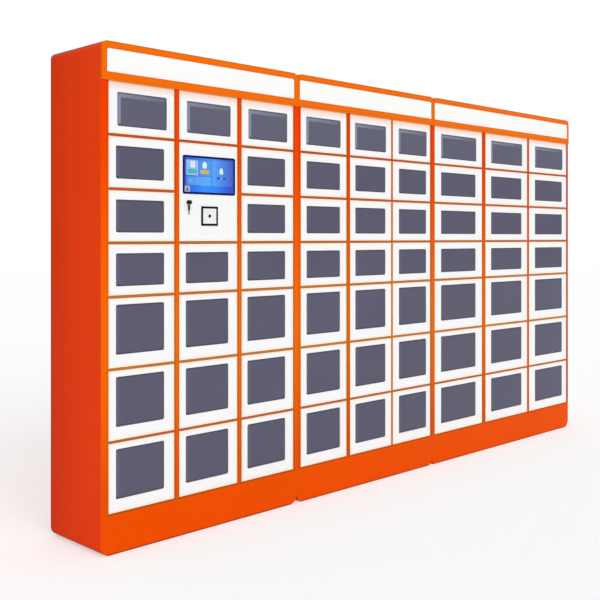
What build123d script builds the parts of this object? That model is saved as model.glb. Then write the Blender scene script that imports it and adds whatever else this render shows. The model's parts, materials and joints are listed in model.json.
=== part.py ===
# Refrigerated smart locker: three insulated cabinets side by side, each with three columns of
# glazed doors, a header sign above and a plinth below. The middle column of the first cabinet
# has a service door with a touch screen, a cam lock and a reader.
#
# While it is modelled, X runs from the bank's left end, Y runs back from the front plane of the
# face frames and Z runs up from the floor. Everything is moved to its final origin on export:
# the middle of the bounding box on the floor, with the front facing -Y.
import os

from build123d import *

os.makedirs("parts", exist_ok=True)

# Casing
casing_depth = 396.0
sheet = 1.5
top_corner_radius = 28.0
right_corner_radius = 48.0
first_left_corner_radius = 42.0
second_left_corner_radius = 34.0
third_left_corner_radius = 8.0
rear_flange_width = 15.0
back_panel_inset = 3.0
liner_sheet = 1.0

# Heights
plinth_height = 166.0
sill_step = 1.0
tall_door_height = 285.0
short_door_height = 210.0
top_door_height = 215.0
rail_height = 8.0
header_height = 156.0
tall_rows = 3
short_rows = 3

# Widths of doors and of the bars between them
narrow_door_width = 333.0
wide_door_width = 474.5
first_left_stile = 35.0
first_mullion = 22.5
first_right_stile = 22.5
second_left_stile = 25.5
second_mullion = 24.0
second_slim_mullion = 9.0
second_right_stile = 19.5
third_left_stile = 19.0
third_mullion = 33.5
third_slim_mullion = 19.0
third_right_stile = 19.5

# Windows, set out from the edges of the door that they are in
narrow_window_width = 244.0
wide_window_width = 347.0
top_window_extra_width = 8.0
top_window_height = 140.0
top_window_bottom = 32.0
short_window_height = 136.0
short_window_bottom = 37.0
tall_window_height = 206.0
tall_window_bottom = 53.0
window_corner_radius = 8.0
first_window_left = 35.0
first_top_window_shift = 6.0
second_window_left = 40.0
second_far_window_left = 52.0
second_top_window_shift = -3.0
third_window_left = 60.0
third_far_window_left = 71.0
third_top_window_shift = 0.0

# Doors
door_gap = 2.0
door_recess = 1.0
door_thickness = 16.0
door_edge_radius = 2.5
glass_recess = 6.0
pane_thickness = 4.0
pane_overlap = 5.0
spacer_width = 6.0
pivot_inset = 6.0
pin_radius = 2.0
pin_reach = 3.0
pin_clearance = 0.05
seal_inset = 9.5
seal_width = 6.0
seal_clearance = 0.3
inner_frame_inset = 19.5
inner_frame_depth = 13.0

# Face frame
frame_depth = 24.0
rail_recess = 3.5
top_rail_height = 12.0
sill_height = 22.0
lip_width = 17.5
lip_sheet = 1.5

# Electric locks and the strike hooks that enter them
lock_width = 30.0
lock_depth = 50.0
lock_height = 36.0
lock_setback = 6.0
hook_thickness = 3.0
hook_height = 12.0
hook_length = 18.0
hook_inset = 21.0
hook_hole_width = 6.0
hook_hole_length = 5.0
slot_side_clearance = 4.0
slot_height_clearance = 2.0
slot_depth = 33.0

# Compartments and insulation
rear_foam = 40.0
duct_depth = 50.0
foam_top = 40.0
ceiling_foam = 25.0

# Header
header_projection = 6.0
sign_top_border = 29.0
sign_height = 96.0
sign_corner_radius = 10.0
sign_recess = 2.0
sign_thickness = 3.0
sign_overlap = 5.0
sign_clearance = 0.5
first_sign_left = 26.0
first_sign_right = 23.0
second_sign_left = 15.0
second_sign_right = 17.0
third_sign_left = 13.0
third_sign_right = 20.0
lamp_height = 12.0
lamp_depth = 14.0
lamp_end_gap = 60.0
lamp_lens_height = 4.0

# Plinth
plinth_sheet = 2.0

# Service door: places are set out from its lower left corner
screen_left = 18.0
screen_bottom = 208.0
screen_width = 300.0
screen_height = 170.0
screen_corner_radius = 9.0
bezel_width = 9.0
bezel_projection = 2.0
housing_inset = 6.0
housing_depth = 35.0
housing_clearance = 0.5
touch_glass_thickness = 2.2
touch_glass_recess = 0.3
touch_glass_clearance = 0.3
reader_centre_x = 168.0
reader_centre_z = 112.0
reader_width = 94.0
reader_height = 86.0
reader_frame_width = 9.0
reader_projection = 3.0
reader_body_inset = 6.0
reader_body_depth = 23.0
reader_face_thickness = 1.0
reader_face_recess = 0.5
reader_lens_radius = 7.5
lock_centre_x = 49.0
lock_centre_z = 171.0
barrel_flange_radius = 9.5
barrel_flange_thickness = 2.5
barrel_radius = 8.0
barrel_length = 23.0
barrel_clearance = 0.1
plug_radius = 5.9
plug_clearance = 0.1
cam_length = 40.0
cam_width = 14.0
cam_thickness = 2.5
cam_setback = 0.7
key_neck_radius = 2.2
key_neck_length = 5.0
key_bow_radius = 9.0
key_bow_thickness = 3.0
key_bow_hole_radius = 2.5
key_ring_radius = 8.5
key_ring_wire_radius = 0.8
key_ring_play = 0.2
key_ring_offset = 4.0
spare_head_width = 10.0
spare_head_height = 26.0
spare_head_thickness = 3.0
spare_hole_radius = 1.8
spare_hole_inset = 4.0
spare_blade_width = 6.0
spare_blade_thickness = 2.2
spare_blade_length = 18.0

# Machine space in the plinth
compressor_radius = 75.0
compressor_height = 112.0
compressor_edge_radius = 26.0
compressor_foot_height = 12.0
compressor_foot_radius = 9.0
compressor_foot_spread = 62.0
compressor_plate_thickness = 3.0
compressor_from_right = 130.0
compressor_from_back = 206.0
condenser_from_left = 100.0
condenser_length = 260.0
condenser_thickness = 40.0
condenser_height = 120.0
condenser_from_back = 146.0
condenser_groove_pitch = 6.0
condenser_groove_width = 3.0
condenser_groove_depth = 4.0
fan_radius = 51.0
fan_tip_clearance = 3.0
fan_shroud_wall = 3.0
fan_shroud_length = 25.0
fan_centre_z = 65.0
fan_hub_radius = 20.0
fan_hub_length = 12.0
fan_blades = 5
fan_blade_chord = 24.0
fan_blade_thickness = 2.0
fan_blade_pitch = 35.0
fan_motor_radius = 17.0
fan_motor_length = 9.0
fan_shaft_radius = 2.5
fan_shaft_reach = 10.0
fan_bar_width = 10.0
fan_bar_thickness = 3.0
pipe_radius = 4.0
pipe_hole_clearance = 0.5
pipe_from_side = 40.0
pipe_turn_radius = 25.0
pipe_tight_radius = 10.0
suction_pipe_z = 70.0
liquid_pipe_z = 60.0
discharge_pipe_z = 85.0
evaporator_sheet = 1.5
evaporator_bottom = 230.0
evaporator_rows = 9
evaporator_pitch = 190.0
evaporator_turn_margin = 175.0
evaporator_bond = 0.3
plate_margin = 20.0
plate_side_margin = 72.0

# Electronics behind the service door
supply_width = 215.0
supply_depth = 110.0
supply_height = 50.0
supply_setback = 150.0
board_width = 180.0
board_height = 120.0
board_thickness = 1.6
standoff_length = 10.0
standoff_radius = 4.0
board_chip_height = 8.0

# Feet, floor anchors, screws and the mains inlet
foot_inset = 72.0
foot_pad_radius = 20.0
foot_pad_height = 8.0
foot_stem_radius = 5.0
foot_stem_top = 60.0
foot_cup_height = 24.0
foot_cup_wall = 7.0
foot_cup_top = 4.0
foot_clearance = 1.0
foot_thread_clearance = 0.1
foot_nut_radius = 9.5
foot_nut_height = 6.0
anchor_hole_radius = 6.0
anchor_inset_x = 110.0
anchor_front_y = 70.0
anchor_from_back = 56.0
screw_head_radius = 4.0
screw_head_height = 2.2
screw_radius = 2.0
screw_clearance = 0.1
screws_per_side = 7
screw_end_margin = 120.0
vent_slot_length = 60.0
vent_slot_height = 6.0
vent_slot_pitch = 14.0
vent_rows = 6
vent_columns = 2
vent_bottom = 28.0
inlet_width = 48.0
inlet_height = 28.0
inlet_depth = 22.0
inlet_flange = 5.0
inlet_flange_thickness = 2.0
inlet_from_right = 300.0
inlet_centre_z = 80.0
inlet_clearance = 0.3
inlet_socket_width = 27.0
inlet_socket_height = 19.0
inlet_socket_depth = 16.0
inlet_blade_width = 2.0
inlet_blade_height = 5.0
inlet_blade_spacing = 7.0

# Heights that follow from the sizes above
sill_top = plinth_height + sill_step
tall_opening = tall_door_height + 2 * door_gap
short_opening = short_door_height + 2 * door_gap
top_opening = top_door_height + 2 * door_gap
opening_heights = [top_opening] + [short_opening] * short_rows + [tall_opening] * tall_rows
openings_top = sill_top + sum(opening_heights) + rail_height * (len(opening_heights) - 1)
header_bottom = openings_top + sill_step
overall_height = header_bottom + header_height
frame_top = openings_top + top_rail_height
sill_bottom = plinth_height - sill_height
foam_ceiling = openings_top + liner_sheet + ceiling_foam

# Depths that follow from the sizes above, counted back from the front plane
pivot_y = door_recess + pivot_inset
door_back = door_recess + door_thickness
pane_front = door_recess + glass_recess
lip_back = frame_depth + lip_sheet
inner_frame_back = door_back + inner_frame_depth
lock_front = lip_back + lock_setback
back_panel_rear = casing_depth - back_panel_inset
back_panel_front = back_panel_rear - sheet
flange_front = back_panel_front - sheet
duct_back = flange_front - rear_foam
compartment_back = duct_back - duct_depth
condenser_y = casing_depth - condenser_from_back
compressor_y = casing_depth - compressor_from_back
anchor_rear_y = casing_depth - anchor_from_back
key_front = door_recess - barrel_flange_thickness
key_bow_y = key_front - key_neck_length - key_bow_radius
key_reach = key_bow_y - key_bow_radius


class Cabinet:
    """The left edge, the openings' spans and the sign's span of one cabinet."""

    def __init__(self, number, left, left_corner_radius, stiles, mullions, door_width, windows,
                 top_window_shift, window_width, sign):
        self.number = number
        self.left = left
        self.left_corner_radius = left_corner_radius
        self.door_width = door_width
        self.window_width = window_width
        self.windows = windows
        self.top_window_shift = top_window_shift
        opening = door_width + 2 * door_gap
        self.columns = []
        edge = left + stiles[0]
        for mullion in list(mullions) + [0.0]:
            self.columns.append((edge, edge + opening))
            edge += opening + mullion
        self.right = edge + stiles[1]
        self.inner_left = self.columns[0][0]
        self.inner_right = self.columns[-1][1]
        self.sign = (left + sign[0], self.right - sign[1])

    def outline(self):
        return (self.left, self.right, 0.0, overall_height)


first = Cabinet(1, 0.0, first_left_corner_radius, (first_left_stile, first_right_stile),
                (first_mullion, first_mullion), narrow_door_width, (first_window_left,) * 3,
                first_top_window_shift, narrow_window_width, (first_sign_left, first_sign_right))
second = Cabinet(2, first.right, second_left_corner_radius,
                 (second_left_stile, second_right_stile),
                 (second_mullion, second_slim_mullion), narrow_door_width,
                 (second_window_left, second_window_left, second_far_window_left),
                 second_top_window_shift, narrow_window_width,
                 (second_sign_left, second_sign_right))
third = Cabinet(3, second.right, third_left_corner_radius,
                (third_left_stile, third_right_stile),
                (third_mullion, third_slim_mullion), wide_door_width,
                (third_window_left, third_window_left, third_far_window_left),
                third_top_window_shift, wide_window_width, (third_sign_left, third_sign_right))
cabinets = [first, second, third]
column_letters = "abcdefghi"
service_column = 1
service_rows = (2, 3)


def row_spans():
    """Bottom and top of each row's openings, from row 1 at the top to row 7."""
    spans = []
    top = openings_top
    for height in opening_heights:
        spans.append((top - height, top))
        top -= height + rail_height
    return spans


rows = row_spans()
service_span = (rows[service_rows[1] - 1][0], rows[service_rows[0] - 1][1])


def grow(rect, margin):
    """A rectangle (x0, x1, z0, z1) with each side moved out by margin."""
    x0, x1, z0, z1 = rect
    return (x0 - margin, x1 + margin, z0 - margin, z1 + margin)


def plate(rect, y0, y1, radius=0.0):
    """A box over a rectangle in the front view, with rounded corners if a radius is given."""
    x0, x1, z0, z1 = rect
    body = Pos((x0 + x1) / 2, (y0 + y1) / 2, (z0 + z1) / 2) * Box(x1 - x0, y1 - y0, z1 - z0)
    if radius > 0:
        body = fillet(body.edges().filter_by(Axis.Y), radius)
    return body


def rod(x, z, radius, y0, y1):
    """A round bar along Y."""
    return Pos(x, (y0 + y1) / 2, z) * Rot(90, 0, 0) * Cylinder(radius, y1 - y0)


def post(x, y, radius, z0, z1):
    """A round bar along Z."""
    return Pos(x, y, (z0 + z1) / 2) * Cylinder(radius, z1 - z0)


def cased(cabinet, rect, y0, y1, inset=0.0, top=True, bottom=True):
    """A block with the casing's rounded outline, its sides moved in by inset."""
    body = plate(grow(rect, -inset), y0, y1)
    if bottom:
        low = body.edges().filter_by(Axis.Y).group_by(Axis.Z)[0].sort_by(Axis.X)
        body = fillet(low[-1], right_corner_radius - inset)
        low = body.edges().filter_by(Axis.Y).group_by(Axis.Z)[0].sort_by(Axis.X)
        body = fillet(low[0], cabinet.left_corner_radius - inset)
    if top:
        high = body.edges().filter_by(Axis.Y).group_by(Axis.Z)[-1]
        body = fillet(high, top_corner_radius - inset)
    return body


def solids_of(shapes):
    """Every solid of a list of shapes, in one flat list."""
    found = []
    for shape in shapes:
        found.extend(shape.solids())
    return found


nodes = {}


def add(name, shapes):
    """Put shapes into the node called name."""
    nodes.setdefault(name, []).extend(solids_of(shapes))


def foot_places(cabinet):
    """Centres of the four levelling feet of a cabinet."""
    return [(x, y) for x in (cabinet.left + foot_inset, cabinet.right - foot_inset)
            for y in (foot_inset, casing_depth - foot_inset)]


def anchor_places(cabinet):
    """Centres of the four floor anchor holes of a cabinet."""
    return [(x, y) for x in (cabinet.left + anchor_inset_x, cabinet.right - anchor_inset_x)
            for y in (anchor_front_y, anchor_rear_y)]


def screw_heights():
    """Heights of the back panel's screws."""
    span = overall_height - 2 * screw_end_margin
    return [screw_end_margin + span * i / (screws_per_side - 1) for i in range(screws_per_side)]


def screw_columns(cabinet):
    """X of the two columns of back panel screws: the middles of the rear flanges."""
    middle = sheet + rear_flange_width / 2
    return (cabinet.left + middle, cabinet.right - middle)


def make_casing(cabinet):
    """Side panels with rear flanges, the rounded top and the rounded base with its foot cups."""
    rect = cabinet.outline()
    shell = cased(cabinet, rect, 0, casing_depth)
    shell -= cased(cabinet, rect, -1, casing_depth + 1, inset=sheet)
    side_low = max(right_corner_radius, cabinet.left_corner_radius)
    side_high = overall_height - top_corner_radius
    wide = (cabinet.left - 1, cabinet.right + 1)
    base = shell & plate((*wide, -1, side_low), -1, casing_depth + 1)
    top = shell & plate((*wide, side_high, overall_height + 1), -1, casing_depth + 1)
    holes = [rod(x, z, screw_radius + screw_clearance, flange_front - 1, back_panel_rear + 1)
             for x in screw_columns(cabinet) for z in screw_heights()]
    sides = []
    for x0, x1, f0, f1 in (
        (cabinet.left, cabinet.left + sheet, cabinet.left, cabinet.left + sheet + rear_flange_width),
        (cabinet.right - sheet, cabinet.right, cabinet.right - sheet - rear_flange_width,
         cabinet.right),
    ):
        side = plate((x0, x1, side_low, side_high), 0, casing_depth)
        side += plate((f0, f1, side_low, side_high), flange_front, back_panel_front)
        for hole in holes:
            side -= hole
        sides.append(side)
    for x, y in foot_places(cabinet):
        pocket = foot_pad_radius + foot_clearance
        cup = post(x, y, pocket + foot_cup_wall, sheet, foot_cup_height)
        base = base + cup
        base = base - post(x, y, pocket, -1, foot_cup_height - foot_cup_top)
        base = base - post(x, y, foot_stem_radius + foot_thread_clearance, 0, foot_cup_height + 1)
    for x, y in anchor_places(cabinet):
        base -= post(x, y, anchor_hole_radius, -1, sheet + 1)
    add(f"casing_{cabinet.number}", [*sides, top, base])


def make_back_panel(cabinet):
    """The rear cover, with air slots for the machine space and its screws."""
    panel = cased(cabinet, cabinet.outline(), back_panel_front, back_panel_rear, inset=sheet)
    fan_x = cabinet.inner_left + condenser_from_left + condenser_length / 2
    for column in range(vent_columns):
        middle = fan_x + (column - (vent_columns - 1) / 2) * (vent_slot_length + vent_slot_pitch)
        for row in range(vent_rows):
            z = vent_bottom + row * vent_slot_pitch
            slot = (middle - vent_slot_length / 2, middle + vent_slot_length / 2,
                    z, z + vent_slot_height)
            panel -= plate(slot, back_panel_front - 1, back_panel_rear + 1)
    for x in screw_columns(cabinet):
        for z in screw_heights():
            hole = screw_radius + screw_clearance
            panel -= rod(x, z, hole, back_panel_front - 1, back_panel_rear + 1)
            head_rear = back_panel_rear + screw_head_height
            head = rod(x, z, screw_head_radius, back_panel_rear, head_rear)
            head += rod(x, z, screw_radius, flange_front, back_panel_rear)
            add("fasteners", [head])
    if cabinet.number == 1:
        panel -= plate(grow(inlet_rect(), inlet_clearance), back_panel_front - 1,
                       back_panel_rear + 1)
    add("back_panels", [panel])


def inlet_rect():
    """The body of the mains inlet in the first cabinet's back panel."""
    x = first.right - inlet_from_right
    return (x - inlet_width / 2, x + inlet_width / 2,
            inlet_centre_z - inlet_height / 2, inlet_centre_z + inlet_height / 2)


def make_mains_inlet():
    """Mains inlet: a flanged body with a socket and three blades."""
    rect = inlet_rect()
    flange_rear = back_panel_rear + inlet_flange_thickness
    body = plate(rect, flange_rear - inlet_depth, flange_rear)
    body += plate(grow(rect, inlet_flange), back_panel_rear, flange_rear, inlet_flange)
    x = (rect[0] + rect[1]) / 2
    socket = (x - inlet_socket_width / 2, x + inlet_socket_width / 2,
              inlet_centre_z - inlet_socket_height / 2, inlet_centre_z + inlet_socket_height / 2)
    socket_front = flange_rear - inlet_socket_depth
    body -= plate(socket, socket_front, flange_rear + 1)
    for offset in (-inlet_blade_spacing, 0.0, inlet_blade_spacing):
        rise = inlet_blade_height / 2 if offset == 0.0 else -inlet_blade_height / 2
        blade = (x + offset - inlet_blade_width / 2, x + offset + inlet_blade_width / 2,
                 inlet_centre_z + rise - inlet_blade_height / 2,
                 inlet_centre_z + rise + inlet_blade_height / 2)
        body += plate(blade, socket_front, flange_rear - inlet_flange_thickness)
    add("mains_inlet", [body])


def column_rows(cabinet, column):
    """The spans of the openings in one column, from the top down."""
    if cabinet is first and column == service_column:
        kept = [span for i, span in enumerate(rows, 1) if i not in service_rows]
        return [kept[0], service_span, *kept[1:]]
    return rows


def pivot_x(cabinet, column, span):
    """X of a door's pivot: on the left, but on the right for the service door."""
    left, right = cabinet.columns[column]
    inset = door_gap + pivot_inset
    if cabinet is first and column == service_column and span == service_span:
        return right - inset
    return left + inset


def pivot_holes(cabinet, column):
    """Bores for the pivot pins of every door of a column, above and below each one."""
    holes = []
    for span in column_rows(cabinet, column):
        x = pivot_x(cabinet, column, span)
        for z0, z1 in ((span[0] - pin_reach - 1, span[0]), (span[1], span[1] + pin_reach + 1)):
            holes.append(post(x, pivot_y, pin_radius + pin_clearance, z0, z1))
    return holes


def make_face_frame(cabinet):
    """Stiles, mullions, rails and sill, and the rebate lips that the door seals meet."""
    name = f"face_frame_{cabinet.number}"
    left = cabinet.left + sheet
    right = cabinet.right - sheet
    starts = [left] + [column[1] for column in cabinet.columns]
    ends = [column[0] for column in cabinet.columns] + [right]
    for x0, x1 in zip(starts, ends):
        add(name, [plate((x0, x1, plinth_height, frame_top), 0, frame_depth)])
        lip = (max(x0 - lip_width, left), min(x1 + lip_width, right), plinth_height, frame_top)
        add(name, [plate(lip, frame_depth, lip_back)])
    sill = plate((left, right, sill_bottom, plinth_height), plinth_sheet, frame_depth)
    for column, (x0, x1) in enumerate(cabinet.columns):
        holes = pivot_holes(cabinet, column)
        spans = column_rows(cabinet, column)
        sill += plate((x0, x1, plinth_height, sill_top), rail_recess, frame_depth)
        sill -= holes[-2]
        top_rail = plate((x0, x1, openings_top, frame_top), rail_recess, frame_depth)
        add(name, [top_rail - holes[1]])
        lips = [(plinth_height, sill_top + lip_width), (openings_top - lip_width, frame_top)]
        for i in range(1, len(spans)):
            z0 = spans[i][1]
            z1 = spans[i - 1][0]
            rail = plate((x0, x1, z0, z1), rail_recess, frame_depth)
            add(name, [rail - holes[2 * i - 2] - holes[2 * i + 1]])
            lips.append((z0 - lip_width, z1 + lip_width))
        for z0, z1 in lips:
            strip = (x0 + lip_width, x1 - lip_width, z0, z1)
            add(name, [plate(strip, frame_depth, lip_back)])
    add(name, [sill])


def make_compartments(cabinet):
    """Dividers, shelves, side liners, inner back, ceiling and floor of the cold space."""
    name = f"compartments_{cabinet.number}"
    low = sill_top
    high = openings_top
    liners = [(cabinet.inner_left - liner_sheet, cabinet.inner_left),
              (cabinet.inner_right, cabinet.inner_right + liner_sheet)]
    dividers = [(cabinet.columns[i][1], cabinet.columns[i + 1][0])
                for i in range(len(cabinet.columns) - 1)]
    for x0, x1 in liners + dividers:
        add(name, [plate((x0, x1, low, high), lip_back, compartment_back)])
    for column, (x0, x1) in enumerate(cabinet.columns):
        spans = column_rows(cabinet, column)
        for upper, lower in zip(spans, spans[1:]):
            shelf = (x0, x1, lower[1], upper[0])
            add(name, [plate(shelf, lip_back, compartment_back)])
    wide = (cabinet.inner_left - liner_sheet, cabinet.inner_right + liner_sheet)
    back = (*wide, low - liner_sheet, high + liner_sheet)
    add(name, [
        plate(back, compartment_back, compartment_back + liner_sheet),
        plate((*wide, low - liner_sheet, low), lip_back, compartment_back),
        plate((*wide, high, high + liner_sheet), lip_back, compartment_back),
    ])


def riser_places(cabinet):
    """X of the liquid pipe on the left and of the suction pipe on the right."""
    return (cabinet.inner_left + pipe_from_side, cabinet.inner_right - pipe_from_side)


def pipe_y():
    """Depth of the pipes in the rear duct: they lie against the evaporator sheet."""
    return compartment_back + liner_sheet + evaporator_sheet + pipe_radius - evaporator_bond


def make_insulation(cabinet):
    """Foam slabs at the back, the sides, the ceiling and the floor."""
    left = cabinet.left + sheet
    right = cabinet.right - sheet
    inner_left = cabinet.inner_left - liner_sheet
    inner_right = cabinet.inner_right + liner_sheet
    high = openings_top + liner_sheet
    low = sill_top - liner_sheet
    floor = plate((left, right, sill_bottom, low), lip_back, duct_back)
    for x in riser_places(cabinet):
        floor -= post(x, pipe_y(), pipe_radius + pipe_hole_clearance, sill_bottom - 1, low + 1)
    add("insulation", [
        floor,
        plate((left, inner_left, low, high), lip_back, duct_back),
        plate((inner_right, right, low, high), lip_back, duct_back),
        plate((left, right, high, foam_ceiling), lip_back, duct_back),
        plate((left, right, sill_bottom, overall_height - foam_top), duct_back, flange_front),
    ])


def make_header(cabinet):
    """Header frame with its sign panel, and the lamp that lights the sign from below."""
    rect = (cabinet.left, cabinet.right, header_bottom, overall_height)
    front = -header_projection
    frame = cased(cabinet, rect, front, 0, bottom=False)
    sign_top = overall_height - sign_top_border
    sign = (*cabinet.sign, sign_top - sign_height, sign_top)
    opening = plate(sign, front - 1, 1)
    upper = opening.edges().filter_by(Axis.Y).group_by(Axis.Z)[-1]
    frame -= fillet(upper, sign_corner_radius)
    sign_front = front + sign_recess
    pocket = grow(sign, sign_overlap)
    frame -= plate(pocket, sign_front, 1)
    panel = plate(grow(pocket, -sign_clearance), sign_front, sign_front + sign_thickness)
    add("header_frames", [frame])
    add("sign_panels", [panel])
    for x0, x1 in cabinet.columns:
        middle = (rail_recess + frame_depth) / 2
        y0 = middle - lamp_depth / 2
        y1 = middle + lamp_depth / 2
        span = (x0 + lamp_end_gap, x1 - lamp_end_gap)
        body_top = frame_top + lamp_height - lamp_lens_height
        lens_top = frame_top + lamp_height
        add("header_lamps", [
            plate((*span, frame_top, body_top), y0, y1),
            plate((*span, body_top, lens_top), y0 + lamp_lens_height, y1 - lamp_lens_height),
        ])


def make_plinth(cabinet):
    """The plinth's front panel, inside the casing's rounded bottom corners."""
    rect = (cabinet.left, cabinet.right, 0.0, plinth_height + sheet)
    add("plinth_panels", [cased(cabinet, rect, 0, plinth_sheet, inset=sheet, top=False)])


def hook_span(width):
    """X of the strike hook and of the lock's slot, from the opening's left edge."""
    opening = width + 2 * door_gap
    hook = (opening - hook_inset - hook_thickness, opening - hook_inset)
    return hook, (hook[0] - slot_side_clearance, hook[1] + slot_side_clearance)


def slab_with_pins(width, height, hinge_x):
    """The door's outer slab and its pivot pins, from the opening's lower left corner."""
    rect = (door_gap, door_gap + width, door_gap, door_gap + height)
    slab = plate(rect, door_recess, door_back)
    front = slab.edges().filter_by(Axis.Z).group_by(Axis.Y)[0]
    slab = fillet(front, door_edge_radius)
    opening = height + 2 * door_gap
    slab += post(hinge_x, pivot_y, pin_radius, -pin_reach, door_gap)
    slab += post(hinge_x, pivot_y, pin_radius, opening - door_gap, opening + pin_reach)
    return slab


def seal_ring(width, height):
    """The seal that the door presses on the rebate lips."""
    outer = (seal_inset, width + 2 * door_gap - seal_inset,
             seal_inset, height + 2 * door_gap - seal_inset)
    back = frame_depth - seal_clearance
    return plate(outer, door_back, back) - plate(grow(outer, -seal_width), door_back - 1, back + 1)


door_kinds = {}


def glazed_door(width, height, window):
    """The solids of one compartment door, from its opening's lower left corner."""
    key = (width, height, window)
    if key in door_kinds:
        return door_kinds[key]
    radius = window_corner_radius
    pocket = grow(window, pane_overlap)
    slab = slab_with_pins(width, height, door_gap + pivot_inset)
    slab -= plate(window, door_recess - 1, pane_front + 1, radius)
    slab -= plate(pocket, pane_front, door_back + 1, radius + pane_overlap)
    pane_back = pane_front + pane_thickness
    pane = plate(pocket, pane_front, pane_back, radius + pane_overlap)
    spacer = plate(pocket, pane_back, door_back, radius + pane_overlap)
    spacer -= plate(grow(pocket, -spacer_width), pane_back - 1, door_back + 1)
    inner_pane = plate(pocket, door_back, door_back + pane_thickness, radius + pane_overlap)
    opening = (0, width + 2 * door_gap, 0, height + 2 * door_gap)
    frame = plate(grow(opening, -inner_frame_inset), door_back, inner_frame_back)
    frame -= plate(window, door_back - 1, inner_frame_back + 1, radius)
    frame -= inner_pane
    hook_x, _ = hook_span(width)
    middle = height / 2 + door_gap
    hook = plate((*hook_x, middle - hook_height / 2, middle + hook_height / 2),
                 inner_frame_back, inner_frame_back + hook_length)
    eye_y = inner_frame_back + hook_length / 2
    hook -= plate((hook_x[0] - 1, hook_x[1] + 1, middle - hook_hole_width / 2,
                   middle + hook_hole_width / 2), eye_y, eye_y + hook_hole_length)
    solids = [slab, pane, spacer, inner_pane, frame, seal_ring(width, height), hook]
    door_kinds[key] = solids_of(solids)
    return door_kinds[key]


def window_of(cabinet, column, row):
    """The window of a door, from its opening's lower left corner."""
    left = door_gap + cabinet.windows[column]
    width = cabinet.window_width
    bottom, height = tall_window_bottom, tall_window_height
    if row == 1:
        left += cabinet.top_window_shift
        width += top_window_extra_width
        bottom, height = top_window_bottom, top_window_height
    elif row <= 1 + short_rows:
        bottom, height = short_window_bottom, short_window_height
    bottom += door_gap
    return (left, left + width, bottom, bottom + height)


def electric_lock(width):
    """One lock body with the slot that the strike hook enters, its middle at z = 0."""
    opening = width + 2 * door_gap
    _, slot = hook_span(width)
    body = plate((opening - lock_width, opening, -lock_height / 2, lock_height / 2),
                 lock_front, lock_front + lock_depth)
    rise = hook_height / 2 + slot_height_clearance
    return body - plate((*slot, -rise, rise), lock_front - 1, lock_front + slot_depth)


def make_doors(cabinet):
    """Every compartment door: one node each in the first cabinet, one for each column elsewhere."""
    lock = electric_lock(cabinet.door_width)
    for column, (x0, _) in enumerate(cabinet.columns):
        letter = column_letters[3 * (cabinet.number - 1) + column]
        for row, (z0, z1) in enumerate(rows, 1):
            if cabinet is first and column == service_column and row in service_rows:
                continue
            height = z1 - z0 - 2 * door_gap
            window = window_of(cabinet, column, row)
            solids = glazed_door(cabinet.door_width, height, window)
            name = f"door_{letter}{row}" if cabinet is first else f"door_column_{letter}"
            add(name, [Pos(x0, 0, z0) * solid for solid in solids])
            add("electric_locks", [Pos(x0, 0, (z0 + z1) / 2) * lock])


# Places on the service door, in the bank's coordinates
service_x = first.columns[service_column][0] + door_gap
service_z = service_span[0] + door_gap
service_width = narrow_door_width
service_height = service_span[1] - service_span[0] - 2 * door_gap
screen_rect = (service_x + screen_left, service_x + screen_left + screen_width,
               service_z + screen_bottom, service_z + screen_bottom + screen_height)
reader_x = service_x + reader_centre_x
reader_z = service_z + reader_centre_z
reader_rect = (reader_x - reader_width / 2, reader_x + reader_width / 2,
               reader_z - reader_height / 2, reader_z + reader_height / 2)
cam_lock_x = service_x + lock_centre_x
cam_lock_z = service_z + lock_centre_z


def make_service_door():
    """The service door's slab, with its cut-outs and its seal."""
    hinge_x = service_width + door_gap - pivot_inset
    slab = Pos(service_x - door_gap, 0, service_z - door_gap) * slab_with_pins(
        service_width, service_height, hinge_x)
    for hole in (
        plate(grow(screen_rect, housing_clearance - housing_inset), -1, door_back + 1),
        plate(grow(reader_rect, housing_clearance - reader_body_inset), -1, door_back + 1),
        rod(cam_lock_x, cam_lock_z, barrel_radius + barrel_clearance, -1, door_back + 1),
    ):
        slab -= hole
    seal = Pos(service_x - door_gap, 0, service_z - door_gap) * seal_ring(
        service_width, service_height)
    add("service_door", [slab, seal])


def make_screen():
    """The screen's bezel and housing, and the touch glass set into it."""
    front = door_recess - bezel_projection
    housing = plate(screen_rect, front, door_recess, screen_corner_radius)
    housing += plate(grow(screen_rect, -housing_inset), door_recess, door_recess + housing_depth)
    pocket = grow(screen_rect, -bezel_width)
    glass_front = front + touch_glass_recess
    glass_back = glass_front + touch_glass_thickness
    housing -= plate(pocket, front - 1, glass_back)
    add("screen_housing", [housing])
    glass = plate(grow(pocket, -touch_glass_clearance), glass_front, glass_back)
    add("touch_screen", [glass])


def make_reader():
    """The square reader: frame and body, pale face plate and round lens."""
    front = door_recess - reader_projection
    body = plate(reader_rect, front, door_recess)
    body += plate(grow(reader_rect, -reader_body_inset), door_recess,
                  door_recess + reader_body_depth)
    pocket = grow(reader_rect, -reader_frame_width)
    face_front = front + reader_face_recess
    face_back = face_front + reader_face_thickness
    body -= plate(pocket, front - 1, face_back)
    face = plate(grow(pocket, -touch_glass_clearance), face_front, face_back)
    face -= rod(reader_x, reader_z, reader_lens_radius + touch_glass_clearance,
                face_front - 1, face_back + 1)
    lens = rod(reader_x, reader_z, reader_lens_radius, face_front - reader_face_recess / 2,
               face_back)
    add("card_reader", [body, face, lens])


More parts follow.
